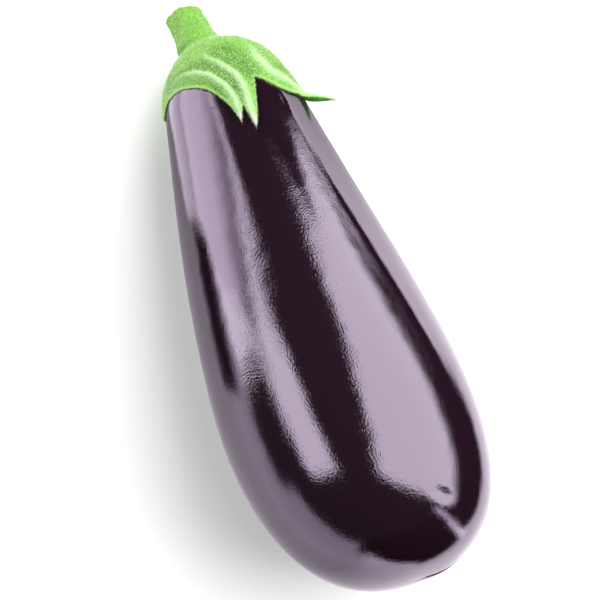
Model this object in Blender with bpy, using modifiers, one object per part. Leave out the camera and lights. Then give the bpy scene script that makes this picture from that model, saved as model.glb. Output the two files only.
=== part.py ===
"""A whole eggplant lying on its side, as picked: the fruit, the leafy cap and the cut stalk.

The eggplant's own frame has Y along its length, stalk towards +Y, and Z up. A height is a
distance along Y, counted from near the fruit's middle. Units are metres, and the constants
below are in millimetres, turned to metres by MM.
"""

from math import cos, pi, radians, sin

import bmesh
import bpy
from mathutils import Vector
from mathutils.geometry import interpolate_bezier

MM = 0.001

# The fruit's outline, as (radius, height) knots with a handle before and after each. The end
# with the flower scar comes first, then the widest place, the neck and the top under the cap.
SCAR_END = (0.0, -91.0)
SCAR_END_HANDLE = (10.0, -91.0)
WIDEST = (45.0, -27.0)
WIDEST_HANDLE_BEFORE = (45.0, -91.0)
WIDEST_HANDLE_AFTER = (45.0, 4.0)
NECK = (26.4, 101.0)
NECK_HANDLE_BEFORE = (33.1, 64.0)
NECK_HANDLE_AFTER = (24.4, 112.0)
TOP = (0.0, 128.5)
TOP_HANDLE = (18.5, 128.5)

# The middle line swings sideways along a wide arc, and the stalk end leans back against it.
# The stalk stands a little aside from the cap's centre, and ASIDE_SPAN gives the heights
# between which the line steps over to it.
BEND_RADIUS = 1515.0
BEND_CENTRE = 12.0
LEAN_RADIUS = 260.0
LEAN_START = 95.0
STALK_ASIDE = -2.4
ASIDE_SPAN = (128.5, 133.5)

# The fruit lies on its belly, neck down, on a small flat where its own weight presses it.
PITCH = radians(7.7)
FLAT_DEPTH = 0.5

# The cap's outline from the rim of the stalk's seat down to where it meets the neck.
SEAT = (8.8, 131.6)
SEAT_HANDLE = (9.6, 127.8)
CAP_HEM = (24.7, 110.0)
CAP_HEM_HANDLE = (22.2, 127.8)
CAP_THICKNESS = 1.0
GAP = 0.5

# The cap's lobes, going round from the upper side towards +X: the angle and height of a lobe's
# tip, how far it stands off the skin, then the angle and height of the notch that follows.
LOBES = (
    (7.0, 78.5, 0.0, 21.0, 100.2),
    (80.0, 90.0, 8.0, 112.0, 104.5),
    (148.0, 95.5, 0.0, 182.0, 107.5),
    (218.0, 97.5, 0.0, 244.0, 109.5),
    (274.0, 105.5, 0.0, 300.0, 109.6),
)
LOBE_POINT = 0.6
LIFT_LENGTH = 14.0

# The cut stalk, as (radius, height): its foot, its waist and its sawn top, whose slope leaves
# the upper side longer.
STALK_FOOT = (8.6, 131.9)
STALK_WAIST = (7.5, 138.5)
STALK_TOP = (7.0, 147.6)
STALK_SLOPE = radians(4.0)

# How finely each surface is divided, round and along.
ROUND_STEPS = 48
STALK_STEPS = 32
CAP_STEPS = 120
BELLY_POINTS, TAPER_POINTS, CROWN_POINTS = 13, 15, 10
CAP_POINTS, SKIRT_STEPS, STALK_POINTS = 13, 8, 9
OUTER_ROWS, LINING_ROWS = 15, 11
SHORTEST_STEP = 0.2
LINING_SPARE = 9.0
SHARP_FROM = radians(50)
GROUND_SIZE = 0.4

SKIN_COLOUR = (0.017, 0.007, 0.015)
LEAF_COLOUR = (0.27, 0.60, 0.11)


def middle(height):
    """How far the middle line stands off straight at this height."""
    lean = max(0.0, height - LEAN_START)
    low, high = ASIDE_SPAN
    step = min(max((height - low) / (high - low), 0.0), 1.0)
    aside = STALK_ASIDE * step * step * (3 - 2 * step)
    return (height - BEND_CENTRE) ** 2 / (2 * BEND_RADIUS) - lean**2 / (2 * LEAN_RADIUS) + aside


def place(radius, height, angle):
    """The point at this radius and height, turned from the upper side towards +X."""
    side = middle(height) + radius * sin(angle)
    return Vector((side, height, radius * cos(angle))) * MM


def curve(start, start_handle, end_handle, end, points):
    """Points along one smooth stretch of an outline."""
    flat = [Vector((*knot, 0.0)) for knot in (start, start_handle, end_handle, end)]
    return [(p.x, p.y) for p in interpolate_bezier(*flat, points)]


def fruit_outline():
    belly = curve(SCAR_END, SCAR_END_HANDLE, WIDEST_HANDLE_BEFORE, WIDEST, BELLY_POINTS)
    taper = curve(WIDEST, WIDEST_HANDLE_AFTER, NECK_HANDLE_BEFORE, NECK, TAPER_POINTS)
    crown = curve(NECK, NECK_HANDLE_AFTER, TOP_HANDLE, TOP, CROWN_POINTS)
    return belly + taper[1:] + crown[1:]


def radius_at(outline, height):
    """The outline's radius where it passes this height, above its widest place."""
    for (r0, h0), (r1, h1) in zip(outline, outline[1:]):
        if h0 <= height <= h1 and r1 <= r0:
            return r0 + (r1 - r0) * (height - h0) / max(h1 - h0, 1e-9)
    return 0.0


def material(name, colour, roughness):
    made = bpy.data.materials.new(name)
    made.use_nodes = True
    shader = made.node_tree.nodes["Principled BSDF"]
    shader.inputs["Base Color"].default_value = (*colour, 1.0)
    shader.inputs["Roughness"].default_value = roughness
    shader.inputs["Metallic"].default_value = 0.0
    return made


def new_object(name, mesh, collection, parent):
    made = bpy.data.objects.new(name, mesh)
    collection.objects.link(made)
    made.parent = parent
    return made


def turned(name, outline, steps):
    """The mesh of an outline turned about the length, by a Screw modifier."""
    profile = bpy.data.meshes.new(name + "_outline")
    points = [(radius * MM, height * MM, 0.0) for radius, height in outline]
    profile.from_pydata(points, [(i, i + 1) for i in range(len(points) - 1)], [])
    helper = bpy.data.objects.new(name + "_outline", profile)
    bpy.context.scene.collection.objects.link(helper)
    screw = helper.modifiers.new("turn", "SCREW")
    screw.axis = "Y"
    screw.steps = steps
    screw.render_steps = steps
    screw.use_merge_vertices = True
    screw.merge_threshold = 1e-5
    graph = bpy.context.evaluated_depsgraph_get()
    mesh = bpy.data.meshes.new_from_object(helper.evaluated_get(graph))
    mesh.name = name
    bpy.data.objects.remove(helper)
    bpy.data.meshes.remove(profile)
    return mesh


def outward(mesh):
    """Turns the faces of a closed mesh outwards."""
    shape = bmesh.new()
    shape.from_mesh(mesh)
    bmesh.ops.remove_doubles(shape, verts=shape.verts, dist=1e-6)
    bmesh.ops.recalc_face_normals(shape, faces=shape.faces)
    shape.to_mesh(mesh)
    shape.free()


def bend(mesh):
    """Swings a straight turned mesh onto the bent middle line."""
    for vertex in mesh.vertices:
        vertex.co.x += middle(vertex.co.y / MM) * MM


def make_fruit(collection, parent):
    mesh = turned("fruit", fruit_outline(), ROUND_STEPS)
    outward(mesh)
    bend(mesh)
    mesh.shade_smooth()
    mesh.materials.append(material("eggplant_skin", SKIN_COLOUR, 0.16))
    return new_object("fruit", mesh, collection, parent)


def hem_at(angle):
    """The cap's lower edge at this angle in degrees: its height, and the lobe's stand-off."""
    for i, (tip, tip_height, lift, after, after_height) in enumerate(LOBES):
        before, before_height = LOBES[i - 1][3:]
        if i == 0:
            before -= 360.0
        for turn in (0.0, -360.0):
            at = angle + turn
            if before <= at <= after:
                notch, notch_height = (after, after_height) if at > tip else (before, before_height)
                share = (at - tip) / (notch - tip)
                rise = (1 - (1 - share) ** 2) ** LOBE_POINT
                return tip_height + (notch_height - tip_height) * rise, lift * (1 - rise)
    raise ValueError(f"no lobe spans {angle} degrees")


def cap_outline():
    """The cap's outer outline, from the seat's rim to the hem, and on down the neck."""
    outline = fruit_outline()
    over = curve(SEAT, SEAT_HANDLE, CAP_HEM_HANDLE, CAP_HEM, CAP_POINTS)
    lowest = min(lobe[1] for lobe in LOBES)
    fall = (CAP_HEM[1] - lowest) / SKIRT_STEPS
    heights = [CAP_HEM[1] - i * fall for i in range(1, SKIRT_STEPS + 1)]
    return over + [(radius_at(outline, h) + GAP + CAP_THICKNESS, h) for h in heights]


def resampled(outline, count):
    """The same outline with its points spread evenly along it."""
    lengths = [0.0]
    for a, b in zip(outline, outline[1:]):
        lengths.append(lengths[-1] + (Vector(b) - Vector(a)).length)
    points = []
    k = 0
    for i in range(count):
        at = lengths[-1] * i / (count - 1)
        while k < len(outline) - 2 and lengths[k + 1] < at:
            k += 1
        share = (at - lengths[k]) / (lengths[k + 1] - lengths[k])
        points.append(tuple(Vector(outline[k]).lerp(Vector(outline[k + 1]), min(share, 1.0))))
    return points


def cut_at(outline, height):
    """The part of a falling outline above this height."""
    kept = [point for point in outline if point[1] > height + SHORTEST_STEP]
    (r0, h0), (r1, h1) = kept[-1], outline[min(len(kept), len(outline) - 1)]
    share = 0.0 if h1 == h0 else (h0 - height) / (h0 - h1)
    return kept + [(r0 + (r1 - r0) * share, height)]


def make_cap(collection, parent):
    """The green cap: one closed shell over the fruit's crown, with five pointed lobes."""
    start = min(lobe[1] for lobe in LOBES) - LINING_SPARE
    crown = [(r, h) for r, h in reversed(fruit_outline()) if h > start]
    outer, lining = cap_outline(), [(r + GAP if r else 0.0, h + GAP) for r, h in crown]
    shape = bmesh.new()
    columns = []
    for step in range(CAP_STEPS):
        degrees = 360.0 * step / CAP_STEPS
        height, lift = hem_at(degrees)
        angle = radians(degrees)
        sides = resampled(cut_at(outer, height), OUTER_ROWS)
        sides += reversed(resampled(cut_at(lining, height), LINING_ROWS)[1:])
        column = []
        for radius, at in sides:
            near_tip = max(0.0, 1 - (at - height) / LIFT_LENGTH)
            column.append(shape.verts.new(place(radius + lift * near_tip**2, at, angle)))
        columns.append(column)
    seat = shape.verts.new(place(0.0, SEAT[1], 0.0))
    roof = shape.verts.new(place(0.0, TOP[1] + GAP, 0.0))
    for left, right in zip(columns, columns[1:] + columns[:1]):
        for i in range(len(left) - 1):
            shape.faces.new((left[i], left[i + 1], right[i + 1], right[i]))
        shape.faces.new((seat, left[0], right[0]))
        shape.faces.new((roof, right[-1], left[-1]))
    bmesh.ops.recalc_face_normals(shape, faces=shape.faces)
    mesh = bpy.data.meshes.new("calyx")
    shape.to_mesh(mesh)
    shape.free()
    mesh.shade_smooth()
    mesh.set_sharp_from_angle(angle=SHARP_FROM)
    mesh.materials.append(material("calyx_green", LEAF_COLOUR, 0.5))
    return new_object("calyx", mesh, collection, parent)


def make_stalk(collection, parent):
    """The stub of the stalk, waisted, and cut off at a slope."""
    side = curve(STALK_FOOT, STALK_WAIST, STALK_WAIST, STALK_TOP, STALK_POINTS)
    mesh = turned("stem", [(0.0, STALK_FOOT[1])] + side + [(0.0, STALK_TOP[1])], STALK_STEPS)
    outward(mesh)
    top, foot = STALK_TOP[1] * MM, STALK_FOOT[1] * MM
    for vertex in mesh.vertices:
        share = (vertex.co.y - foot) / (top - foot)
        vertex.co.y += share * vertex.co.z * sin(STALK_SLOPE)
    bend(mesh)
    mesh.shade_smooth()
    mesh.set_sharp_from_angle(angle=SHARP_FROM)
    mesh.materials.append(material("stalk_green", LEAF_COLOUR, 0.5))
    return new_object("stem", mesh, collection, parent)


def corners(objects):
    """The lowest and highest corners of these objects in the world."""
    graph = bpy.context.evaluated_depsgraph_get()
    points = []
    for obj in objects:
        seen = obj.evaluated_get(graph)
        points += [seen.matrix_world @ vertex.co for vertex in seen.data.vertices]
    low = Vector([min(point[axis] for point in points) for axis in range(3)])
    high = Vector([max(point[axis] for point in points) for axis in range(3)])
    return low, high


def press_flat(fruit, cutters):
    """Cuts the small flat that the fruit lies on, where it would sink below the ground."""
    shape = bmesh.new()
    bmesh.ops.create_cube(shape, size=GROUND_SIZE)
    mesh = bpy.data.meshes.new("ground")
    shape.to_mesh(mesh)
    shape.free()
    ground = bpy.data.objects.new("ground", mesh)
    ground.location.z = -GROUND_SIZE / 2
    ground.hide_render = True
    ground.display_type = "WIRE"
    cutters.objects.link(ground)
    cut = fruit.modifiers.new("flat", "BOOLEAN")
    cut.operation = "DIFFERENCE"
    cut.object = ground


def main():
    for obj in list(bpy.data.objects):
        bpy.data.objects.remove(obj)
    eggplant = bpy.data.collections.new("eggplant")
    cutters = bpy.data.collections.new("cutters")
    bpy.context.scene.collection.children.link(eggplant)
    bpy.context.scene.collection.children.link(cutters)

    lying = bpy.data.objects.new("lying", None)
    eggplant.objects.link(lying)
    lying.rotation_euler.x = -PITCH

    fruit = make_fruit(eggplant, lying)
    cap = make_cap(eggplant, lying)
    stalk = make_stalk(eggplant, lying)

    bpy.context.view_layer.update()
    lowest = corners([fruit])[0].z
    lying.location.z = -lowest - FLAT_DEPTH * MM
    bpy.context.view_layer.update()
    low, high = corners([fruit, cap, stalk])
    lying.location.x -= (low.x + high.x) / 2
    lying.location.y -= (low.y + high.y) / 2
    press_flat(fruit, cutters)
    bpy.context.view_layer.update()


main()
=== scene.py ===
"""The looks of an eggplant lying on a pale table: skin, cap, stalk, down, light and camera."""

from collections import namedtuple
from math import cos, pi, radians, sin

import bpy
import numpy as np
from mathutils import Matrix, Vector, noise


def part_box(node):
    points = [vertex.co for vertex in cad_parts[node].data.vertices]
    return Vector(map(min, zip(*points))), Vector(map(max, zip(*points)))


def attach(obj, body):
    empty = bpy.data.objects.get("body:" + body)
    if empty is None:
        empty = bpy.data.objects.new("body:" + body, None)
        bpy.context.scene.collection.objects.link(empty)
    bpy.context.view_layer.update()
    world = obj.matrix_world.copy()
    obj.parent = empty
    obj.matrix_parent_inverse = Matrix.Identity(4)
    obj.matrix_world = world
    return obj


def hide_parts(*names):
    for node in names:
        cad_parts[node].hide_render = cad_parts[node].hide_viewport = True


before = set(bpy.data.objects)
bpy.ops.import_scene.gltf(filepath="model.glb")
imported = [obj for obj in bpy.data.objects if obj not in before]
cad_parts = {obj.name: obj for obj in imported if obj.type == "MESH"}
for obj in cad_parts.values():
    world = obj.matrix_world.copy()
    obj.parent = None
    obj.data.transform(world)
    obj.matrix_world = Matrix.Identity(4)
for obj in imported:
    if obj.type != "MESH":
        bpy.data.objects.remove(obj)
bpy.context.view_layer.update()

MM = 0.001

# ---------------------------------------------------------------- the eggplant's sizes
# They are in its own frame, in millimetres: Y runs along the length towards the stalk and Z is up.
# A knot of an outline is (radius, height), where the height is a place along Y.
# An angle goes round the length in degrees, from the upper side towards +X.
# A span is the pair of values over which something rises from none to all.

SCAR_END = (0.0, -91.0)
WIDEST = (45.0, -27.0)
NECK = (26.4, 101.0)
TOP = (0.0, 128.5)
OUTLINE = (
    (SCAR_END, (10.0, -91.0), (45.0, -91.0), WIDEST),
    (WIDEST, (45.0, 4.0), (33.1, 64.0), NECK),
    (NECK, (24.4, 112.0), (18.5, 128.5), TOP),
)
# The middle line bends towards +X both ways from BEND_CENTRE, and back again on the neck. The stalk
# is set aside from it.
BEND_RADIUS = 1515.0
BEND_CENTRE = 12.0
LEAN_RADIUS = 260.0
LEAN_START = 95.0
STALK_ASIDE = -2.4
ASIDE_SPAN = (128.5, 133.5)
PITCH = radians(7.7)

Rib = namedtuple("Rib", "count rise phase")
Lumps = namedtuple("Lumps", "rise size stretch seed")
Dent = namedtuple("Dent", "angle height width length depth slant")

# Shallow ribs, almost three times as high on the neck as on the belly.
FRUIT_RIBS = (Rib(3, 0.12, -0.9), Rib(5, 0.07, -1.4), Rib(9, 0.035, -3.0))
RIBS_ON_BELLY = 0.5
RIBS_ON_NECK = 1.4
RIBS_SPAN = (-30.0, 70.0)
FRUIT_LUMPS = (
    Lumps(0.16, 21.0, 0.55, 3.0),
    Lumps(0.05, 6.5, 1.0, 11.0),
    Lumps(0.012, 2.6, 0.7, 31.0),
)
FRUIT_ENDS_SPAN = (0.0, 22.0)
# One soft ridge runs along the +X side at these angles, and loses part of its rise near the calyx.
RIDGE_HEIGHTS = (-60.0, -30.0, 50.0, 95.0)
RIDGE_ANGLES = (49.0, 48.0, 40.5, 39.0)
RIDGE_RISE = 0.42
RIDGE_HALF_WIDTH = 3.6
RIDGE_START_SPAN = (-60.0, -15.0)
RIDGE_LOSS = 0.6
RIDGE_LOSS_SPAN = (70.0, 98.0)
BRUISE = Dent(28.0, -73.0, 4.2, 1.5, 0.5, 0.22)
NICK = Dent(37.5, 88.0, 1.7, 2.6, 0.22, 0.0)

# The corky slit of the flower scar and the puckered skin round it are at this X and Z on the round
# end. Their spans are of the height below 0.
SCAR_AT = (12.0, -2.0)
SCAR_TILT = 0.25
SLIT_WIDTH = 0.7
SLIT_LENGTH = 4.6
SLIT_DEPTH = 1.1
SLIT_SPAN = (70.0, 84.0)
PUCKER_WIDTH = 5.5
PUCKER_RISE = 0.6
PUCKER_SPAN = (60.0, 80.0)

# The calyx: a crown from its seat round the stalk to its hem, then a skirt that follows the fruit.
# Its relief and its hairs start at distances from the stalk. Its thickening and its margin are
# spans of the distance from the margin.
CAP_SEAT = (9.5, 131.2)
CAP_HEM = (24.6, 110.0)
CROWN = (CAP_SEAT, (10.6, 127.3), (20.8, 127.2), CAP_HEM)
CAP_HOLE = 8.1
SKIRT_SPAN = (99.0, CAP_HEM[1])
LOWEST_LOBE = 74.0
CAP_STAND_OFF = 1.15
CAP_THICKNESS = 1.1
MARGIN_THICKNESS = 0.7
MARGIN_ROUNDING = 0.3
THICKENING_SPAN = (0.0, 9.0)
THINNEST = 0.5
SKIN_GAP = 0.2
CROWN_FROM = 113.0
ARC_PER_DEGREE = 0.43
RELIEF_SPAN = (1.0, 9.0)
RELIEF_AT_MARGIN = 0.35
MARGIN_SPAN = (0.0, 2.5)
CAP_PUFF = (Lumps(0.35, 7.0, 1.0, 21.0), Lumps(0.12, 2.6, 1.0, 5.0))
MARGIN_WOBBLE = (Lumps(0.5, 5.0, 1.0, 7.0),)
MARGIN_RADIUS = 26.0

# The margin as smooth stretches of (angle, height), with sharp turns at the lobe tips and notches.
MARGIN = (
    ((0.0, 82.3), (2.0, 85.5), (3.6, 88.6), (5.0, 88.6)),
    ((5.0, 88.6), (5.8, 88.6), (6.8, 83.5), (7.8, 77.8)),
    ((7.8, 77.8), (12.0, 82.0), (15.5, 90.0), (21.0, 100.4)),
    ((21.0, 100.4), (29.0, 100.4), (34.0, 92.3), (56.0, 92.2)),
    ((56.0, 92.2), (64.0, 92.2), (74.0, 91.0), (80.0, 87.2)),
    ((80.0, 87.2), (85.0, 93.5), (96.0, 104.5), (112.0, 104.5)),
    ((112.0, 104.5), (128.0, 104.5), (140.0, 101.5), (148.0, 95.5)),
    ((148.0, 95.5), (156.0, 101.5), (166.0, 107.5), (182.0, 107.5)),
    ((182.0, 107.5), (198.0, 107.5), (210.0, 103.5), (218.0, 97.5)),
    ((218.0, 97.5), (226.0, 103.5), (234.0, 109.5), (246.0, 109.5)),
    ((246.0, 109.5), (258.0, 109.5), (268.0, 109.0), (273.0, 106.5)),
    ((273.0, 106.5), (280.0, 108.5), (288.0, 109.5), (300.0, 109.5)),
    ((300.0, 109.5), (330.0, 108.8), (355.0, 101.0), (360.0, 82.3)),
)
CURLED_TIP = (80.0, 87.2)
CURL_RISE = 11.0
CURL_SPAN = (-4.0, 10.0)
DRY_TIPS = ((0.0, 82.3), (7.8, 77.8), (148.0, 95.5), (218.0, 97.5))
DRY_TIP_SIZE = 2.4

# Veins and creases, each along a line of (angle, height). A crease has a negative rise. A degree
# counts as 0.4 mm of the line, and a fold is weaker at the two ends of its length.
Fold = namedtuple("Fold", "line width rise")
FOLDS = (
    Fold(((-24, 118), (-11, 116), (0, 109.6), (8, 103), (10, 97), (9.3, 90.5), (8, 80)), 1.1, 1.0),
    Fold(
        ((-48, 114), (-36, 113.5), (-22, 110.5), (-11, 106.4), (-3, 99.5), (1, 92.2), (0.5, 84)),
        1.0,
        1.0,
    ),
    Fold(((-30, 116), (-16, 113), (-5, 108), (2, 101.5), (5, 96), (5, 91)), 1.2, -0.9),
    Fold(((-66, 111), (-50, 111.6), (-34, 109.6), (-20, 105.5), (-11, 100.5), (-5, 94)), 0.8, -0.6),
    Fold(
        ((-60, 114.5), (-46, 115.8), (-32, 114.6), (-19, 112.2), (-9, 108.4), (-1, 102)), 0.7, -0.5
    ),
    Fold(((-5, 120), (8, 115), (16, 109), (19.5, 103)), 3.0, -0.9),
    Fold(
        ((32, 120), (34, 115), (34, 108), (37, 101.5), (47, 98.5), (58, 95.6), (79, 88.5)),
        1.9,
        0.95,
    ),
    Fold(((52, 110), (60, 103), (68, 98)), 2.4, -0.5),
    Fold(((100, 122), (108, 115), (112, 107)), 2.6, -0.9),
    Fold(((146, 123), (147, 110), (148, 97)), 2.0, 0.9),
    Fold(((180, 122), (182, 115), (182, 110)), 2.6, -0.9),
    Fold(((216, 123), (217, 110), (218, 99)), 2.0, 0.9),
    Fold(((244, 122), (246, 116), (246, 112)), 2.6, -0.9),
    Fold(((272, 123), (272, 114), (273, 106)), 2.2, 0.9),
    Fold(((296, 122), (299, 117), (301, 113)), 2.4, -0.7),
)
FOLD_STEP = (0.4, 1.0)
FOLD_SHARES = (0.0, 0.3, 0.85, 1.0)
FOLD_STRENGTHS = (0.25, 1.0, 1.0, 0.6)

# The stalk: its side from the socket in the calyx up to the saw cut, then the cut to its middle.
STALK_SOCKET = (CAP_HOLE - 0.15, 127.6)
STALK_FOOT = (9.4, 131.4)
STALK_WAIST = (7.5, 138.5)
STALK_TOP = (7.2, 146.6)
STALK_RIM = (6.7, 147.2)
STALK_SIDE = (
    (STALK_SOCKET, (8.3, 129.5), (9.3, 130.5), STALK_FOOT),
    (STALK_FOOT, (8.6, 133.6), (7.7, 136.2), STALK_WAIST),
    (STALK_WAIST, (7.3, 141.5), (7.2, 144.0), STALK_TOP),
)
STALK_CUT = (
    (STALK_TOP, (7.2, 147.0), (7.0, 147.2), STALK_RIM),
    (STALK_RIM, (5.0, 147.1), (3.0, 147.0), (0.3, 146.7)),
)
STALK_RIBS = (Rib(5, 0.28, pi / 2 + 0.7), Rib(8, 0.14, pi / 2 + 2.1), Rib(13, 0.08, pi / 2))
STALK_LUMPS = (Lumps(0.22, 3.2, 1.0, 41.0), Lumps(0.1, 1.3, 1.0, 17.0))
STALK_RIBS_SPAN = (134.0, 140.0)
STALK_RIBS_REACH = 7.0
SAW_MARKS = (Lumps(0.12, 1.6, 1.0, 5.0),)
SAW_MARKS_SPAN = (146.5, 146.9)
CUT_SLOPE = radians(4.0)
CUT_SLOPE_SPAN = (137.0, 146.5)

# Real hairs of the down are finer. These are as thick as they need to be to show.
HAIRS_PER_SQUARE_METRE = 1.6e6
HAIR_LENGTH = 0.9 * MM
HAIR_RADIUS = 0.07 * MM
HAIR_SEED = 10
HAIR_START_SPAN = (0.2, 1.5)
FRINGE_WIDTH = 0.7
FRINGE_DENSITY = 3.0

# ---------------------------------------------------------------- the studio's sizes, in metres

KEY_RADIANCE = 6.0
WARM_LAVENDER = "#f8eefa"
HORIZON = (0.93, 0.93, 0.94, 1.0)
SHADE_CENTRE = 0.04
SHADE_HALF_WIDTH = 0.14
SHADE_HALF_LENGTH = 0.30
FLOOR_HALF = 6.0
GLOW_HALF = 4.0
FOCAL_LENGTH = 116.3
CAMERA_AZIMUTH = radians(-20.32)
CAMERA_ELEVATION = radians(76.88)
CAMERA_DISTANCE = 0.75
CAMERA_AIM = (0.00051, 0.02882, -0.04229)
CAMERA_RIGHT = 0.00257
CAMERA_UP = 0.0013


# ---------------------------------------------------------------- curves and noise


def bezier(knots, count):
    """Points along one smooth stretch between its first and last knots."""
    a, b, c, d = (np.array(knot) for knot in knots)
    t = np.linspace(0.0, 1.0, count)[:, None]
    return a * (1 - t) ** 3 + 3 * b * t * (1 - t) ** 2 + 3 * c * t**2 * (1 - t) + d * t**3


def lengths_along(points):
    """How far each point of a line is along it."""
    return np.concatenate([[0.0], np.cumsum(np.hypot(*np.diff(points, axis=0).T))])


def outline_points(stretches, count):
    """An outline as count points spread evenly along it."""
    fine = np.concatenate([bezier(knots, 400) for knots in stretches])
    along = lengths_along(fine)
    at = np.linspace(0.0, along[-1], count)
    return np.stack([np.interp(at, along, fine[:, 0]), np.interp(at, along, fine[:, 1])], 1)


def smooth(value, start, end):
    """Rises smoothly from 0 at start to 1 at end."""
    t = np.clip((value - start) / (end - start), 0.0, 1.0)
    return t * t * (3 - 2 * t)


def bell(value, width):
    """1 at 0, and fading to both sides over about this width."""
    return np.exp(-0.5 * (value / width) ** 2)


def turn(angle, centre):
    """Degrees from centre to an angle in radians, the short way round."""
    return (np.degrees(angle) - centre + 180.0) % 360.0 - 180.0


def lumpy(points, kinds):
    """How far lumps of these kinds raise a surface at these points."""
    rise = 0.0
    for kind in kinds:
        flat = (points * (1.0, kind.stretch, 1.0)).reshape(-1, 3) / kind.size + kind.seed
        rise = rise + kind.rise * np.array([noise.noise(p) for p in flat]).reshape(points.shape[:-1])
    return rise


def ribbed(angle, ribs):
    """How far ribs raise a surface at these angles, in radians."""
    return sum(rib.rise * np.sin(rib.count * angle + rib.phase) for rib in ribs)


# ---------------------------------------------------------------- from the eggplant to the table


def middle(height):
    """How far the middle line stands off straight at this height."""
    lean = np.maximum(0.0, height - LEAN_START)
    bend = (height - BEND_CENTRE) ** 2 / (2 * BEND_RADIUS) - lean**2 / (2 * LEAN_RADIUS)
    return bend + STALK_ASIDE * smooth(height, *ASIDE_SPAN)


def on_middle(height):
    """The point of the middle line at this height."""
    return [middle(height), height, 0.0]


def place(radius, height, angle):
    """Points at these radii and heights, turned by angles in radians."""
    side = middle(height) + radius * np.sin(angle)
    return np.stack([side, height + 0.0 * side, radius * np.cos(angle)], -1)


def pitched(points):
    """Millimetres upright to metres lying at the slant at which belly and neck touch the table."""
    return points @ np.array(Matrix.Rotation(-PITCH, 3, "X")).T * MM


def fruit_origin():
    """Where the eggplant's own origin lies, so that its fruit fills the plain fruit's box."""
    outline = outline_points(OUTLINE, 300)
    angle = np.linspace(0.0, 2 * pi, 360, endpoint=False)
    turned = pitched(place(outline[:, :1], outline[:, 1:], angle).reshape(-1, 3))
    low, high = (np.array(corner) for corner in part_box("fruit"))
    origin = (low + high - turned.min(0) - turned.max(0)) / 2
    origin[2] = high[2] - turned.max(0)[2]
    return origin


ORIGIN = fruit_origin()


def lie_down(points):
    """From the eggplant's own frame, in millimetres, to where it lies, in metres."""
    return pitched(points) + ORIGIN


# ---------------------------------------------------------------- meshes and nodes


def link(made):
    """Puts an object in the scene."""
    bpy.context.scene.collection.objects.link(made)
    return made


def grid_object(name, points, material, start_pole=None, end_pole=None, ring=False):
    """A tube of rows of points, drawn together to poles at its ends or joined into a ring."""
    rows, columns = points.shape[:2]
    vertices = [tuple(p) for p in points.reshape(-1, 3)]
    faces = []
    for i in range(rows if ring else rows - 1):
        near, far = i * columns, (i + 1) % rows * columns
        for j in range(columns):
            k = (j + 1) % columns
            faces.append((near + j, near + k, far + k, far + j))
    if start_pole is not None:
        vertices.append(tuple(start_pole))
        last = len(vertices) - 1
        faces += [(last, (j + 1) % columns, j) for j in range(columns)]
    if end_pole is not None:
        vertices.append(tuple(end_pole))
        last = len(vertices) - 1
        top = (rows - 1) * columns
        faces += [(last, top + j, top + (j + 1) % columns) for j in range(columns)]
    mesh = bpy.data.meshes.new(name)
    mesh.from_pydata(vertices, [], faces)
    mesh.shade_smooth()
    mesh.materials.append(material)
    return link(bpy.data.objects.new(name, mesh))


def paint(made, name, *values):
    """A number for each vertex, in a layer that materials and hairs read."""
    layer = made.data.attributes.new(name, "FLOAT", "POINT")
    every = np.concatenate([np.ravel(some) for some in values])
    layer.data.foreach_set("value", every.astype(np.float32))


def linear(hex_colour):
    """A colour written as sRGB hex, turned to linear light with full alpha."""
    values = [int(hex_colour[i : i + 2], 16) / 255 for i in (1, 3, 5)]
    return (*[v / 12.92 if v <= 0.04045 else ((v + 0.055) / 1.055) ** 2.4 for v in values], 1.0)


def add(tree, kind, settings=None, *sources, **links):
    """Adds a node, sets its properties and sockets, and links its inputs in order or by name."""
    node = tree.nodes.new(kind)
    for key, value in (settings or {}).items():
        if isinstance(key, int) or key in node.inputs:
            node.inputs[key].default_value = value
        else:
            setattr(node, key, value)
    for number, source in enumerate(sources):
        tree.links.new(source, node.inputs[number])
    for key, source in links.items():
        tree.links.new(source, node.inputs[key.replace("_", " ")])
    return node


def new_material(name):
    """An empty material and its tree."""
    made = bpy.data.materials.new(name)
    made.use_nodes = True
    made.node_tree.nodes.clear()
    return made, made.node_tree


def painted(tree, name, low, high):
    """A mesh's painted layer, stretched so that low is 0 and high is 1."""
    layer = add(tree, "ShaderNodeAttribute", {"attribute_name": name}).outputs["Fac"]
    span = {"From Min": low, "From Max": high}
    return add(tree, "ShaderNodeMapRange", span, Value=layer).outputs["Result"]


def tone_or_light_laid_over(tree, under, name, low, high, colour):
    """A colour laid over another where the mesh's painted layer is strong, for tones and for painted
    light.
    """
    colours = {"data_type": "RGBA", "B": linear(colour)}
    amount = painted(tree, name, low, high)
    return add(tree, "ShaderNodeMix", colours, Factor=amount, A=under).outputs["Result"]


# ---------------------------------------------------------------- fruit


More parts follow.
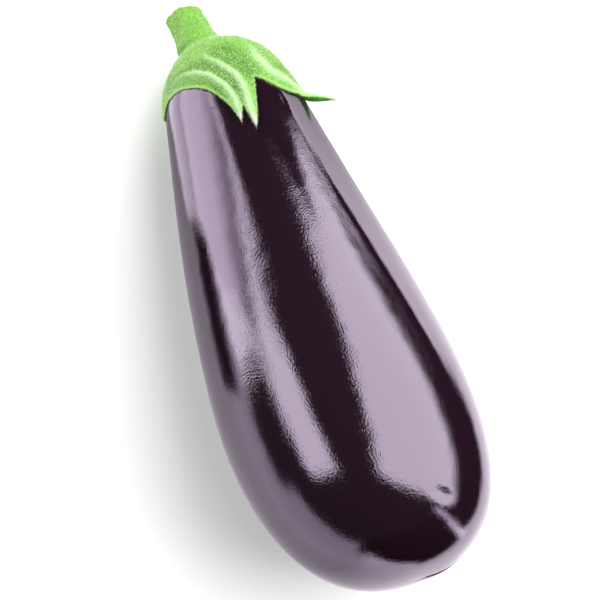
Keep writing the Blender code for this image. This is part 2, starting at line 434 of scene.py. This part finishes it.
def eggplant_skin():
    """Living skin under its own wax: near black with purple in it, and wet looking."""
    made, tree = new_material("waxed_eggplant_skin")
    # The real pores are finer. They are as coarse as they need to be to show in a highlight.
    pores = add(
        tree,
        "ShaderNodeTexNoise",
        {"Scale": 1 / (0.65 * MM), "Detail": 2.0, "Roughness": 0.45},
        Vector=add(tree, "ShaderNodeTexCoord").outputs["Object"],
    )
    relief = {"Strength": 1.0, "Distance": 0.055 * MM}
    bump = add(tree, "ShaderNodeBump", relief, Height=pores.outputs["Fac"])
    # Wax makes the skin smooth; the cork in its scar has none.
    cork = painted(tree, "cork", 0.25, 0.8)
    rough = add(tree, "ShaderNodeMapRange", {"To Min": 0.07, "To Max": 0.75}, Value=cork)
    skin_and_cork = {"data_type": "RGBA", "A": linear("#160a12"), "B": linear("#4a3022")}
    shader = add(
        tree,
        "ShaderNodeBsdfPrincipled",
        {"IOR": 1.5, "Specular IOR Level": 1.0, "Specular Tint": linear("#f6e4ff")},
        Base_Color=add(tree, "ShaderNodeMix", skin_and_cork, Factor=cork).outputs["Result"],
        Roughness=rough.outputs["Result"],
        Normal=bump.outputs["Normal"],
    )
    add(tree, "ShaderNodeOutputMaterial", Surface=shader.outputs["BSDF"])
    return made


def dented(angle, height, dent):
    """How deep a dent is at these places."""
    aside = turn(angle, dent.angle)
    up = height - dent.height + dent.slant * aside
    return dent.depth * bell(up, dent.length) * bell(aside, dent.width)


def fruit_swell(angle, height, points):
    """How far the skin stands off the turned shape: ribs, lumps, one ridge, a bruise and a nick."""
    growth = RIBS_ON_BELLY + (RIBS_ON_NECK - RIBS_ON_BELLY) * smooth(height, *RIBS_SPAN)
    swell = ribbed(angle, FRUIT_RIBS) * growth + lumpy(points, FRUIT_LUMPS)
    ridge_at = np.interp(height, RIDGE_HEIGHTS, RIDGE_ANGLES)
    ridge_lost = RIDGE_LOSS * smooth(height, *RIDGE_LOSS_SPAN)
    ridge_on = smooth(height, *RIDGE_START_SPAN) * (1 - ridge_lost)
    swell = swell + RIDGE_RISE * ridge_on * bell(turn(angle, ridge_at), RIDGE_HALF_WIDTH)
    return swell - dented(angle, height, BRUISE) - dented(angle, height, NICK)


def flower_scar(points, height):
    """The corky slit at the round end and the puckered skin round it, both from 0 to 1."""
    across, up = points[..., 0] - SCAR_AT[0], points[..., 2] - SCAR_AT[1]
    slit = bell(up + SCAR_TILT * across, SLIT_WIDTH) * bell(across, SLIT_LENGTH)
    pucker = bell(np.hypot(across, up), PUCKER_WIDTH)
    return slit * smooth(-height, *SLIT_SPAN), pucker * smooth(-height, *PUCKER_SPAN)


def make_fruit():
    """The turned and bent berry with its swellings and scar, flat where its weight presses it."""
    rows, columns = 310, 310
    outline = outline_points(OUTLINE, rows + 2)[1:-1]
    angle = np.linspace(0.0, 2 * pi, columns, endpoint=False)
    radius, height = outline[:, :1], outline[:, 1:]
    swell = fruit_swell(angle, height, place(radius, height, angle))
    points = place(radius + swell * smooth(radius, *FRUIT_ENDS_SPAN), height, angle)
    slit, pucker = flower_scar(points, height)
    points[..., 1] += SLIT_DEPTH * slit - PUCKER_RISE * pucker
    points = lie_down(points)
    points[..., 2] = np.maximum(points[..., 2], 0.0)
    poles = lie_down(np.array([on_middle(SCAR_END[1]), on_middle(TOP[1])]))
    made = grid_object("fruit_skin", points, eggplant_skin(), *poles)
    paint(made, "cork", slit, 0.0, 0.0)
    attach(made, "root")
    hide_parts("fruit")


# ---------------------------------------------------------------- calyx


def downy_green(name, sawn=False):
    """Living calyx or stalk: green flesh under pale felted down and, where it is sawn, bare pith."""
    made, tree = new_material(name)
    place_on = add(tree, "ShaderNodeTexCoord").outputs["Object"]
    coarse = {"Scale": 1 / (3.0 * MM), "Detail": 3.0}
    fine = {"Scale": 1 / (0.45 * MM), "Detail": 2.0, "Distortion": 1.5}
    mottle = add(tree, "ShaderNodeTexNoise", coarse, Vector=place_on).outputs["Fac"]
    tufts = add(tree, "ShaderNodeTexNoise", fine, Vector=place_on).outputs["Fac"]
    patches = add(tree, "ShaderNodeMapRange", {"From Min": 0.35, "From Max": 0.65}, Value=mottle)
    felt = add(tree, "ShaderNodeMapRange", {"From Min": 0.45, "From Max": 0.62}, Value=tufts)
    greens = {"data_type": "RGBA", "A": linear("#3f7716"), "B": linear("#588c24")}
    green = add(tree, "ShaderNodeMix", greens, Factor=patches.outputs["Result"]).outputs["Result"]
    # Painted shade: the creases are painted darker green, as shade falls in them.
    green = tone_or_light_laid_over(tree, green, "crease_shade", 0.05, 0.5, "#1f5505")
    # Veins lighter green: partly their own paler tissue, partly a painted highlight on their crests.
    green = tone_or_light_laid_over(tree, green, "ridge", 0.35, 1.3, "#98b884")
    # The felt over the veins is paler for the same two reasons.
    felts = {"data_type": "RGBA", "A": linear("#74a33e"), "B": linear("#b4c8a6")}
    pale = add(tree, "ShaderNodeMix", felts, Factor=painted(tree, "ridge", 0.1, 1.3))
    green = add(
        tree,
        "ShaderNodeMix",
        {"data_type": "RGBA"},
        Factor=felt.outputs["Result"],
        A=green,
        B=pale.outputs["Result"],
    ).outputs["Result"]
    green = tone_or_light_laid_over(tree, green, "edge", 0.0, 1.5, "#8fb060")
    green = tone_or_light_laid_over(tree, green, "under", 0.0, 1.0, "#5cb01c")
    green = tone_or_light_laid_over(tree, green, "dry", 0.2, 0.75, "#aaa39c")
    if sawn:
        piths = {"data_type": "RGBA", "A": linear("#7f8f45"), "B": linear("#9fa662")}
        pith = add(tree, "ShaderNodeMix", piths, Factor=patches.outputs["Result"])
        green = add(
            tree,
            "ShaderNodeMix",
            {"data_type": "RGBA"},
            Factor=painted(tree, "cut", 0.2, 0.9),
            A=green,
            B=pith.outputs["Result"],
        ).outputs["Result"]
    bump = add(tree, "ShaderNodeBump", {"Strength": 0.9, "Distance": 0.18 * MM}, Height=tufts)
    shader = add(
        tree,
        "ShaderNodeBsdfPrincipled",
        {
            "Roughness": 0.55,
            "IOR": 1.42,
            "Specular IOR Level": 0.4,
            "Sheen Weight": 0.08,
            "Sheen Roughness": 0.4,
            "Sheen Tint": linear("#e8f6dc"),
        },
        Base_Color=green,
        Normal=bump.outputs["Normal"],
    )
    add(tree, "ShaderNodeOutputMaterial", Surface=shader.outputs["BSDF"])
    return made


def margin_height(angle):
    """Height of the calyx's margin at these angles."""
    curves = np.concatenate([bezier(knots, 60)[:-1] for knots in MARGIN])
    hem = np.interp(np.degrees(angle) % 360.0, curves[:, 0], curves[:, 1], period=360.0)
    ring = np.stack([np.cos(angle), np.sin(angle), 0 * angle], -1) * MARGIN_RADIUS
    return hem + lumpy(ring, MARGIN_WOBBLE)


def fruit_radius(height):
    """Radius of the fruit under the calyx at this height."""
    outline = outline_points(OUTLINE[1:], 600)
    return np.interp(height, outline[:, 1], outline[:, 0])


def above_skin(radius, height, least):
    """The radius, or as much more as keeps it this far off the fruit below the crown."""
    skin = np.where(height < CROWN_FROM, fruit_radius(height) + SKIN_GAP, 0.0)
    return np.maximum(radius, skin + least)


def distance_to(spot, angle, height):
    """Millimetres on the calyx from a spot (angle, height) to these places."""
    return np.hypot(turn(angle, spot[0]) * ARC_PER_DEGREE, height - spot[1])


def near_fold(angle, height, fold):
    """How strong a fold is at these places: 1 on most of its line, and less near its ends."""
    line = np.array(fold.line)
    steps = lengths_along(line * FOLD_STEP)
    at = np.linspace(0.0, steps[-1], 70)
    spots = zip(np.interp(at, steps, line[:, 0]), np.interp(at, steps, line[:, 1]))
    nearest = np.full(np.broadcast(angle, height).shape, np.inf)
    strength = np.zeros_like(nearest)
    for share, spot in zip(at / steps[-1], spots):
        distance = distance_to(spot, angle, height)
        closer = distance < nearest
        nearest = np.where(closer, distance, nearest)
        strength = np.where(closer, np.interp(share, FOLD_SHARES, FOLD_STRENGTHS), strength)
    return bell(nearest, fold.width) * strength


def cap_profile(count):
    """The calyx's outer outline, from the stalk down past the longest lobe, evenly spread."""
    heights = np.linspace(CAP_HEM[1], LOWEST_LOBE, 200)[1:]
    flare = CAP_HEM[0] - fruit_radius(CAP_HEM[1]) - CAP_STAND_OFF
    clearance = CAP_STAND_OFF + flare * smooth(heights, *SKIRT_SPAN)
    skirt = np.stack([fruit_radius(heights) + clearance, heights], 1)
    fine = np.concatenate([bezier(CROWN, 300), skirt])
    along = lengths_along(fine)
    at = np.linspace(0.0, along[-1], count)
    return at, np.interp(at, along, fine[:, 0]), np.interp(at, along, fine[:, 1])


def make_calyx():
    """A thin leafy cap with veins and creases, its margin curled away from the fruit at one lobe."""
    columns, outer_rows, inner_rows = 540, 84, 36
    angle = np.linspace(0.0, 2 * pi, columns, endpoint=False)[None, :]
    along, radii, heights = cap_profile(900)
    length = np.interp(-margin_height(angle), -heights, along)
    arc = np.linspace(0.0, 1.0, outer_rows)[:, None] * length
    radius, height = np.interp(arc, along, radii), np.interp(arc, along, heights)
    lean_out = np.interp(arc, along, np.arctan2(np.gradient(radii), -np.gradient(heights)))
    normal_out, normal_up = np.cos(lean_out), np.sin(lean_out)
    to_edge = length - arc

    veins = [fold for fold in FOLDS if fold.rise > 0]
    creases = [fold for fold in FOLDS if fold.rise < 0]
    # Vein rise and crease depth shape the cap and also place painted highlight and painted shade.
    ridge_rise_and_highlight = sum(near_fold(angle, height, fold) * fold.rise for fold in veins)
    crease_depth_and_shade = sum(near_fold(angle, height, fold) * -fold.rise for fold in creases)
    relief = ridge_rise_and_highlight - crease_depth_and_shade + lumpy(place(radius, height, angle), CAP_PUFF)
    kept = RELIEF_AT_MARGIN + (1 - RELIEF_AT_MARGIN) * smooth(to_edge, *MARGIN_SPAN)
    curl = 1 - smooth(distance_to(CURLED_TIP, angle, height), *CURL_SPAN)
    rise = relief * smooth(arc, *RELIEF_SPAN) * kept + CURL_RISE * curl
    outer_height = height + rise * normal_up
    outer_radius = above_skin(radius + rise * normal_out, outer_height, THINNEST)

    thickening = (CAP_THICKNESS - MARGIN_THICKNESS) * smooth(to_edge, *THICKENING_SPAN)
    thickness = MARGIN_THICKNESS + thickening
    rows_in = np.linspace(outer_rows - 1, 0, inner_rows).round().astype(int)
    inner_height = (outer_height - thickness * normal_up)[rows_in]
    inner_radius = (outer_radius - thickness * normal_out)[rows_in]
    inner_radius = above_skin(inner_radius, inner_height, 0.0)

    edge_radius = (outer_radius[-1:] + inner_radius[:1]) / 2
    edge_height = (outer_height[-1:] + inner_height[:1]) / 2 - MARGIN_ROUNDING * MARGIN_THICKNESS
    all_radius = np.concatenate([outer_radius, edge_radius, inner_radius])
    all_height = np.concatenate([outer_height, edge_height, inner_height])
    points = lie_down(place(all_radius, all_height, angle))
    made = grid_object("calyx_cap", points[::-1], downy_green("downy_green_calyx"), ring=True)

    lining = np.zeros((inner_rows + 1, columns))
    fringe = lining.copy()
    fringe[:2] = FRINGE_DENSITY
    dry = sum(bell(distance_to(tip, angle, height), DRY_TIP_SIZE) for tip in DRY_TIPS)
    hairy = 1 + (FRINGE_DENSITY - 1) * bell(to_edge, FRINGE_WIDTH)
    # Layers for the material; the vein and crease layers also carry painted highlight and painted
    # shade.
    layers = {
        "ridge": (ridge_rise_and_highlight, lining),
        "crease_shade": (crease_depth_and_shade, lining),
        "edge": (bell(to_edge, 0.5), lining + 0.6),
        "dry": (dry, lining + dry[-1:]),
        "under": (0 * arc, lining + 1.0),
        "hairy": (hairy * smooth(arc, *HAIR_START_SPAN), fringe),
    }
    for name, (outside, inside) in layers.items():
        paint(made, name, np.concatenate([outside, inside])[::-1])
    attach(made, "root")
    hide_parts("calyx")
    return made


# ---------------------------------------------------------------- down


def bake(made, tree, name, inputs):
    """Runs a node tree on this object and returns its result as a plain new object."""
    modifier = made.modifiers.new(name, "NODES")
    modifier.node_group = tree
    for item in tree.interface.items_tree:
        if item.item_type == "SOCKET" and item.in_out == "INPUT" and item.name in inputs:
            modifier[item.identifier] = inputs[item.name]
    graph = bpy.context.evaluated_depsgraph_get()
    graph.update()
    mesh = bpy.data.meshes.new_from_object(made.evaluated_get(graph))
    mesh.name = name
    made.modifiers.remove(modifier)
    return link(bpy.data.objects.new(name, mesh))


def down_tree(material):
    """Short tapered hairs scattered where a surface is painted hairy, leaning every way."""
    tree = bpy.data.node_groups.new("felted_down", "GeometryNodeTree")
    face = tree.interface
    face.new_socket("Surface", in_out="INPUT", socket_type="NodeSocketGeometry")
    for name in ("Hairs per square metre", "Hair length", "Hair radius"):
        face.new_socket(name, in_out="INPUT", socket_type="NodeSocketFloat")
    face.new_socket("Seed", in_out="INPUT", socket_type="NodeSocketInt")
    face.new_socket("Hairs", in_out="OUTPUT", socket_type="NodeSocketGeometry")
    given = add(tree, "NodeGroupInput").outputs
    hairy = add(tree, "GeometryNodeInputNamedAttribute", {"data_type": "FLOAT", "Name": "hairy"})
    density = add(
        tree,
        "ShaderNodeMath",
        {"operation": "MULTIPLY"},
        given["Hairs per square metre"],
        hairy.outputs["Attribute"],
    )
    spots = add(
        tree,
        "GeometryNodeDistributePointsOnFaces",
        Mesh=given["Surface"],
        Density=density.outputs["Value"],
        Seed=given["Seed"],
    )
    hair = add(
        tree,
        "GeometryNodeMeshCone",
        {"Vertices": 3, "Radius Top": 0.0, "fill_type": "NONE"},
        Radius_Bottom=given["Hair radius"],
        Depth=given["Hair length"],
    )
    leans = {"data_type": "FLOAT_VECTOR", "Min": (-1.0, -1.0, 0.0), "Max": (1.0, 1.0, 6.28)}
    lean = add(tree, "FunctionNodeRandomValue", leans, Seed=given["Seed"])
    turned = add(
        tree,
        "FunctionNodeRotateRotation",
        {"rotation_space": "LOCAL"},
        Rotation=spots.outputs["Rotation"],
        Rotate_By=lean.outputs["Value"],
    )
    sizes = {"data_type": "FLOAT", "Min": 0.5, "Max": 1.1}
    placed = add(
        tree,
        "GeometryNodeInstanceOnPoints",
        Points=spots.outputs["Points"],
        Instance=hair.outputs["Mesh"],
        Rotation=turned.outputs["Rotation"],
        Scale=add(tree, "FunctionNodeRandomValue", sizes, Seed=given["Seed"]).outputs["Value"],
    )
    real = add(tree, "GeometryNodeRealizeInstances", Geometry=placed.outputs["Instances"])
    coloured = {"Material": material}
    hairs = add(tree, "GeometryNodeSetMaterial", coloured, Geometry=real.outputs["Geometry"])
    add(tree, "NodeGroupOutput", Hairs=hairs.outputs["Geometry"])
    return tree


def star_hairs():
    """Dry colourless plant hairs, which look milky green against the flesh."""
    made, tree = new_material("star_hair_down")
    dry = {"Base Color": linear("#bcd0a2"), "Roughness": 0.6, "IOR": 1.45, "Specular IOR Level": 0.3}
    shader = add(tree, "ShaderNodeBsdfPrincipled", dry)
    add(tree, "ShaderNodeOutputMaterial", Surface=shader.outputs["BSDF"])
    return made


def grow_down(made, tree, name):
    """Hairs over a finished piece, as a piece of their own."""
    sizes = {
        "Hairs per square metre": HAIRS_PER_SQUARE_METRE,
        "Hair length": HAIR_LENGTH,
        "Hair radius": HAIR_RADIUS,
        "Seed": HAIR_SEED,
    }
    hairs = bake(made, tree, name, sizes)
    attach(hairs, "root")


# ---------------------------------------------------------------- stalk


def make_stalk():
    """The ribbed stub of the stalk, from its socket in the calyx to its sawn end."""
    rows, cut_rows, columns = 90, 26, 160
    angle = np.linspace(0.0, 2 * pi, columns, endpoint=False)
    side = outline_points(STALK_SIDE, rows)
    outline = np.concatenate([side, outline_points(STALK_CUT, cut_rows)[1:]])
    radius, height = outline[:, :1], outline[:, 1:]
    points = place(radius, height, angle)
    rise = ribbed(angle, STALK_RIBS) + lumpy(points, STALK_LUMPS)
    share = np.minimum(radius / STALK_RIBS_REACH, 1.0)
    radius = radius + rise * smooth(height, *STALK_RIBS_SPAN) * share
    slant = radius * np.cos(angle) * np.tan(CUT_SLOPE) * smooth(height, *CUT_SLOPE_SPAN)
    marks = lumpy(points, SAW_MARKS) * smooth(height, *SAW_MARKS_SPAN)
    height = height + slant + marks
    points = lie_down(place(radius, height, angle))
    start, end = lie_down(np.array(on_middle(STALK_SOCKET[1]))), points[-1].mean(0)
    green = downy_green("downy_green_stalk_with_sawn_end", sawn=True)
    made = grid_object("stalk", points, green, start, end)
    sawn = np.repeat(np.arange(len(outline)) >= len(side), columns)
    outside = np.repeat(outline[:, 1] > CAP_SEAT[1], columns)
    paint(made, "cut", sawn, 0.0, 1.0)
    paint(made, "hairy", outside & ~sawn, 0.0, 0.0)
    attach(made, "root")
    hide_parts("stem")
    return made


# ---------------------------------------------------------------- light, floor and camera


def flat_square(name, half, material):
    """A level square on the table, centred under the eggplant."""
    mesh = bpy.data.meshes.new(name)
    corners = [(-half, -half, 0), (half, -half, 0), (half, half, 0), (-half, half, 0)]
    mesh.from_pydata(corners, [], [(0, 1, 2, 3)])
    mesh.materials.append(material)
    return link(bpy.data.objects.new(name, mesh))


def only_in_reflections(made):
    """Shows a stage object in glossy reflections and nowhere else."""
    made.visible_camera = False
    made.visible_shadow = False
    made.visible_diffuse = False
    made.visible_transmission = False


def softbox(name, centre, turns, size, fade=0.0):
    """A lit rectangle whose glow rises over this share of its width, from its own -X side."""
    light = bpy.data.lights.new(name, "AREA")
    light.shape = "RECTANGLE"
    light.size, light.size_y = size
    light.energy = KEY_RADIANCE * pi * size[0] * size[1]
    if fade:
        light.use_nodes = True
        tree = light.node_tree
        over = add(tree, "ShaderNodeNewGeometry").outputs["Parametric"]
        across = add(tree, "ShaderNodeSeparateXYZ", Vector=over).outputs["X"]
        rise = add(tree, "ShaderNodeMapRange", {"From Max": fade}, Value=across)
        tree.links.new(rise.outputs["Result"], tree.nodes["Emission"].inputs["Strength"])
    made = link(bpy.data.objects.new(name, light))
    made.location = centre
    made.rotation_euler = [radians(degrees) for degrees in turns]
    made.visible_camera = False


def card(name, azimuth, distance, width, bottom, top, radiance=0.0, slope=0.0, fade=0.0):
    """An upright card facing the fruit, black if it has no radiance, which the skin mirrors.

    Its lower edge may slope up towards its own +X end, and its glow may fade at the top.
    """
    paint_on, tree = new_material(name + "_card")
    plain = {"Color": linear(WARM_LAVENDER), "Strength": radiance}
    shader = add(tree, "ShaderNodeEmission", plain)
    if fade:
        place_on = add(tree, "ShaderNodeTexCoord").outputs["Object"]
        up = add(tree, "ShaderNodeSeparateXYZ", Vector=place_on).outputs["Z"]
        falls = {"From Min": top - fade, "From Max": top, "To Min": radiance, "To Max": 0.0}
        glow = add(tree, "ShaderNodeMapRange", falls, Value=up)
        tree.links.new(glow.outputs["Result"], shader.inputs["Strength"])
    add(tree, "ShaderNodeOutputMaterial", Surface=shader.outputs["Emission"])
    mesh = bpy.data.meshes.new(name)
    half = width / 2
    corners = [(-half, 0, bottom), (half, 0, bottom + slope), (half, 0, top), (-half, 0, top)]
    mesh.from_pydata(corners, [], [(0, 1, 2, 3)])
    mesh.materials.append(paint_on)
    made = link(bpy.data.objects.new(name, mesh))
    a = radians(azimuth)
    made.location = (distance * sin(a), distance * cos(a), 0.0)
    made.rotation_euler.z = -a
    only_in_reflections(made)


def make_table_glow():
    """What the skin mirrors of the table: dim beside the fruit, lighter away from it and at +X."""
    paint_on, tree = new_material("shaded_table")
    place_on = add(tree, "ShaderNodeTexCoord").outputs["Object"]
    shade = {
        "Location": (0.0, -SHADE_CENTRE / SHADE_HALF_LENGTH, 0.0),
        "Scale": (1 / SHADE_HALF_WIDTH, 1 / SHADE_HALF_LENGTH, 1.0),
    }
    oval = add(tree, "ShaderNodeMapping", shade, Vector=place_on).outputs["Vector"]
    far = add(tree, "ShaderNodeVectorMath", {"operation": "LENGTH"}, Vector=oval)
    falls = {"From Min": 0.3, "From Max": 1.6, "To Min": 0.5, "To Max": 2.0}
    glow = add(tree, "ShaderNodeMapRange", falls, Value=far.outputs["Value"])
    sideways = {"operation": "DOT_PRODUCT", 1: (1.0, -0.5, 0.0)}
    across = add(tree, "ShaderNodeVectorMath", sideways, place_on).outputs["Value"]
    right = add(tree, "ShaderNodeMapRange", {"From Max": 0.1, "To Max": 1.4}, Value=across)
    total = {"operation": "ADD"}
    both = add(tree, "ShaderNodeMath", total, glow.outputs["Result"], right.outputs["Result"])
    lavender = {"Color": linear(WARM_LAVENDER)}
    shader = add(tree, "ShaderNodeEmission", lavender, Strength=both.outputs["Value"])
    add(tree, "ShaderNodeOutputMaterial", Surface=shader.outputs["Emission"])
    only_in_reflections(flat_square("table_glow", GLOW_HALF, paint_on))


def make_floor():
    """A matt white table that fades to the colour of the horizon, so that no edge shows."""
    paint_on, tree = new_material("matt_white_table")
    near = add(tree, "ShaderNodeBsdfDiffuse", {"Color": (0.72, 0.72, 0.72, 1.0)})
    far = add(tree, "ShaderNodeEmission", {"Color": HORIZON})
    place_on = add(tree, "ShaderNodeTexCoord").outputs["Object"]
    distance = add(tree, "ShaderNodeVectorMath", {"operation": "LENGTH"}, Vector=place_on)
    span = {"interpolation_type": "SMOOTHSTEP", "From Min": 0.5, "From Max": 1.4}
    fade = add(tree, "ShaderNodeMapRange", span, Value=distance.outputs["Value"])
    both = add(
        tree,
        "ShaderNodeMixShader",
        None,
        fade.outputs["Result"],
        near.outputs["BSDF"],
        far.outputs["Emission"],
    )
    add(tree, "ShaderNodeOutputMaterial", Surface=both.outputs["Shader"])
    made = flat_square("floor", FLOOR_HALF, paint_on)
    made.visible_glossy = False


def make_world():
    """A dim room that looks as pale as the table's horizon."""
    world = bpy.data.worlds.new("studio")
    bpy.context.scene.world = world
    world.use_nodes = True
    tree = world.node_tree
    tree.nodes.clear()
    seen = add(tree, "ShaderNodeLightPath").outputs["Is Camera Ray"]
    dim = add(tree, "ShaderNodeBackground", {"Color": (1.0, 1.0, 1.0, 1.0), "Strength": 0.04})
    pale = add(tree, "ShaderNodeBackground", {"Color": HORIZON, "Strength": 1.0})
    backgrounds = dim.outputs["Background"], pale.outputs["Background"]
    both = add(tree, "ShaderNodeMixShader", None, seen, *backgrounds)
    add(tree, "ShaderNodeOutputWorld", Surface=both.outputs["Shader"])


def make_lights():
    """Softboxes for the broad highlights, and reflectors and black flags that shape their edges."""
    softbox("right_softbox", (1.005, 0.602, 0.987), (-3.6, -58.4, 160.3), (1.846, 2.762), fade=0.12)
    softbox("left_softbox", (-1.097, 0.291, 0.973), (15.3, 9.5, -179.4), (0.83, 1.11))
    softbox("back_softbox", (-0.915, 1.051, 0.607), (179.1, 58.5, -69.5), (1.478, 1.07))
    # Each card: azimuth from +Y towards +X, distance, width, bottom, top and, if it glows, radiance.
    card("neck_reflector", 321.0, 0.27, 0.19, 0.0, 0.2, 0.85 * KEY_RADIANCE, fade=0.08)
    card("neck_low_reflector", 330.4, 0.1115, 0.08, 0.0, 0.035, 0.5 * KEY_RADIANCE)
    card("end_reflector", 156.0, 0.2, 0.011, 0.0, 0.13, 0.8 * KEY_RADIANCE)
    card("low_reflector", 238.0, 1.6, 1.5, 0.0, 0.38, 2.0)
    card("right_flag", 104.0, 0.125, 0.33, 0.018, 0.085)
    card("neck_flag", 28.0, 0.156, 0.07, 0.035, 0.15)
    card("left_flag", 291.0, 0.145, 0.09, 0.0, 0.05)
    card("front_flag", 184.3, 0.2, 0.09, 0.0, 0.12, slope=0.08)
    card("front_flag_end", 167.5, 0.203, 0.065, 0.0, 0.12)


def make_camera():
    """A long lens nearly straight above, turned so that the eggplant lies slanted."""
    camera = bpy.data.cameras.new("camera")
    camera.sensor_width = 36.0
    camera.lens = FOCAL_LENGTH
    camera.clip_end = 50.0
    made = link(bpy.data.objects.new("camera", camera))
    azimuth, elevation = CAMERA_AZIMUTH, CAMERA_ELEVATION
    out = cos(elevation)
    back = Vector((sin(azimuth) * out, -cos(azimuth) * out, sin(elevation)))
    right = Vector((cos(azimuth), sin(azimuth), 0.0))
    aim = Vector(ORIGIN) + Vector(CAMERA_AIM)
    shift = right * CAMERA_RIGHT + back.cross(right) * CAMERA_UP
    made.location = aim + back * CAMERA_DISTANCE + shift
    made.rotation_euler = (pi / 2 - elevation, 0.0, azimuth)
    bpy.context.scene.camera = made


def main():
    bpy.context.scene.view_settings.view_transform = "Standard"
    make_camera()
    make_world()
    make_floor()
    make_table_glow()
    make_lights()
    make_fruit()
    down = down_tree(star_hairs())
    grow_down(make_calyx(), down, "calyx_down")
    grow_down(make_stalk(), down, "stalk_down")


main()
